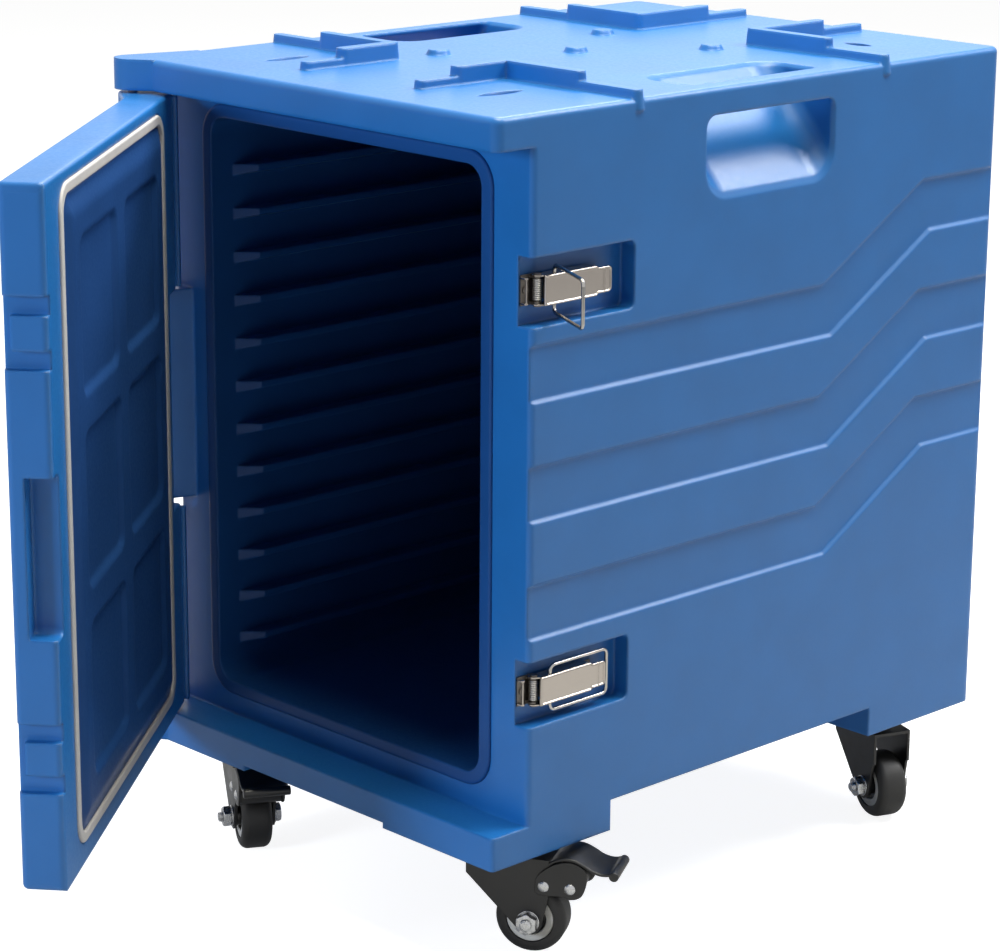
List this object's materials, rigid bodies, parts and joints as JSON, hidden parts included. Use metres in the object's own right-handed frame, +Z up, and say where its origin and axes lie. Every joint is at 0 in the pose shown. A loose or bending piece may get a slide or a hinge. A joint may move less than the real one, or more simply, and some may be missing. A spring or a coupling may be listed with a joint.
{
  "type": "insulated food transport cart",
  "caption": "Front-loading insulated pan carrier with a hinged door, draw latches, moulded side bands, carrying grips and swivel casters with brakes at the front.",
  "frame": {"origin": "middle of the overall box at floor level, as pictured with the door standing open", "axes": "+X to the cart's right as seen from its door side (the latch side), +Y from the door to the back, +Z up"},
  "size_m": [0.5321, 0.9805, 0.739],
  "materials": {
    "shell_blue": "rotomoulded polyethylene, faint orange-peel, satin",
    "liner_blue": "moulded polyethylene, smooth satin",
    "foam": "rigid closed-cell foam, hidden",
    "rod_steel": "drawn steel rod",
    "seal_grey": "soft warm light grey silicone",
    "bush_plastic": "white bearing plastic",
    "latch_steel": "pressed stainless steel, satin",
    "lever_steel": "pressed stainless steel, brushed, warm reflection",
    "bail_steel": "bright drawn stainless wire",
    "spring_steel": "spring steel wire",
    "caster_black": "black electro-coated pressed steel, semi-gloss",
    "zinc": "bright zinc plated",
    "core_grey": "light grey nylon",
    "hub_dark": "dark grey nylon cover",
    "tyre": "black rubber, fine satin"
  },
  "bodies": {
    "cabinet": {"outer_shell": "shell_blue", "inner_liner": "liner_blue", "foam_core": "foam", "hinge_rod": "rod_steel", "latch_rivets": "latch_steel", "caster_plates": "caster_black", "caster_kingpins": "zinc", "caster_bolts": "zinc", "latch_upper_base": "latch_steel", "latch_upper_pin": "latch_steel", "latch_upper_spring": "spring_steel", "latch_lower_base": "latch_steel", "latch_lower_pin": "latch_steel", "latch_lower_spring": "spring_steel"},
    "door": {"door_shell": "shell_blue", "door_panel": "liner_blue", "door_seal": "seal_grey", "door_foam": "foam", "hinge_bushes": "bush_plastic"},
    "upper_lever": {"latch_upper_lever": "lever_steel"},
    "upper_bail": {"latch_upper_bail": "bail_steel"},
    "lower_lever": {"latch_lower_lever": "lever_steel"},
    "lower_bail": {"latch_lower_bail": "bail_steel"},
    "front_right_fork": {"caster_front_right_fork": "caster_black", "caster_front_right_axle": "zinc", "caster_front_right_brake_pivot": "zinc"},
    "front_right_wheel": {"caster_front_right_wheel_core": "core_grey", "caster_front_right_wheel_hub": "hub_dark", "caster_front_right_tyre": "tyre"},
    "front_right_pedal": {"caster_front_right_brake_pedal": "caster_black", "caster_front_right_brake_rivet": "zinc"},
    "front_left_fork": {"caster_front_left_fork": "caster_black", "caster_front_left_axle": "zinc", "caster_front_left_brake_pivot": "zinc"},
    "front_left_wheel": {"caster_front_left_wheel_core": "core_grey", "caster_front_left_wheel_hub": "hub_dark", "caster_front_left_tyre": "tyre"},
    "front_left_pedal": {"caster_front_left_brake_pedal": "caster_black", "caster_front_left_brake_rivet": "zinc"},
    "rear_right_fork": {"caster_rear_right_fork": "caster_black", "caster_rear_right_axle": "zinc"},
    "rear_right_wheel": {"caster_rear_right_wheel_core": "core_grey", "caster_rear_right_wheel_hub": "hub_dark", "caster_rear_right_tyre": "tyre"},
    "rear_left_fork": {"caster_rear_left_fork": "caster_black", "caster_rear_left_axle": "zinc"},
    "rear_left_wheel": {"caster_rear_left_wheel_core": "core_grey", "caster_rear_left_wheel_hub": "hub_dark", "caster_rear_left_tyre": "tyre"}
  },
  "joints": [
    {"name": "door_hinge", "type": "hinge", "parent": "cabinet", "child": "door", "pos_m": [-0.25009, -0.14121, 0.413], "axis": [0, 0, -1], "range_deg": [-50, 212]},
    {"name": "upper_lever_pivot", "type": "hinge", "parent": "cabinet", "child": "upper_lever", "pos_m": [0.19941, -0.08571, 0.5805], "axis": [0, 0, -1], "range_deg": [0, 110], "stiffness_Nm_per_rad": 0.05, "springref_deg": -17.19},
    {"name": "upper_bail_pivot", "type": "hinge", "parent": "upper_lever", "child": "upper_bail", "pos_m": [0.20441, -0.07171, 0.5805], "axis": [0, 0, 1], "range_deg": [-65, 115]},
    {"name": "lower_lever_pivot", "type": "hinge", "parent": "cabinet", "child": "lower_lever", "pos_m": [0.19941, -0.08571, 0.2435], "axis": [0, 0, -1], "range_deg": [0, 110], "stiffness_Nm_per_rad": 0.05, "springref_deg": -17.19},
    {"name": "lower_bail_pivot", "type": "hinge", "parent": "lower_lever", "child": "lower_bail", "pos_m": [0.20441, -0.07171, 0.2435], "axis": [0, 0, 1], "range_deg": [-180, 0]},
    {"name": "front_right_swivel", "type": "hinge", "parent": "cabinet", "child": "front_right_fork", "pos_m": [0.15091, -0.07571, 0.09], "axis": [0, 0, 1], "continuous": true},
    {"name": "front_right_wheel_spin", "type": "hinge", "parent": "front_right_fork", "child": "front_right_wheel", "pos_m": [0.17662, -0.06026, 0.031], "axis": [-0.515, 0.8572, 0], "continuous": true},
    {"name": "front_right_brake", "type": "hinge", "parent": "front_right_fork", "child": "front_right_pedal", "pos_m": [0.18819, -0.0533, 0.065], "axis": [-0.515, 0.8572, 0], "range_deg": [0, 16]},
    {"name": "front_left_swivel", "type": "hinge", "parent": "cabinet", "child": "front_left_fork", "pos_m": [-0.18909, -0.07571, 0.09], "axis": [0, 0, 1], "continuous": true},
    {"name": "front_left_wheel_spin", "type": "hinge", "parent": "front_left_fork", "child": "front_left_wheel", "pos_m": [-0.16286, -0.09025, 0.031], "axis": [0.4848, 0.8746, 0], "continuous": true},
    {"name": "front_left_brake", "type": "hinge", "parent": "front_left_fork", "child": "front_left_pedal", "pos_m": [-0.15105, -0.0968, 0.065], "axis": [0.4848, 0.8746, 0], "range_deg": [0, 16]},
    {"name": "rear_right_swivel", "type": "hinge", "parent": "cabinet", "child": "rear_right_fork", "pos_m": [0.15091, 0.40729, 0.09], "axis": [0, 0, 1], "continuous": true},
    {"name": "rear_right_wheel_spin", "type": "hinge", "parent": "rear_right_fork", "child": "rear_right_wheel", "pos_m": [0.17891, 0.39654, 0.031], "axis": [0.3584, 0.9336, 0], "continuous": true},
    {"name": "rear_left_swivel", "type": "hinge", "parent": "cabinet", "child": "rear_left_fork", "pos_m": [-0.18909, 0.40729, 0.09], "axis": [0, 0, 1], "continuous": true},
    {"name": "rear_left_wheel_spin", "type": "hinge", "parent": "rear_left_fork", "child": "rear_left_wheel", "pos_m": [-0.21729, 0.39703, 0.031], "axis": [0.342, -0.9397, 0], "continuous": true}
  ]
}
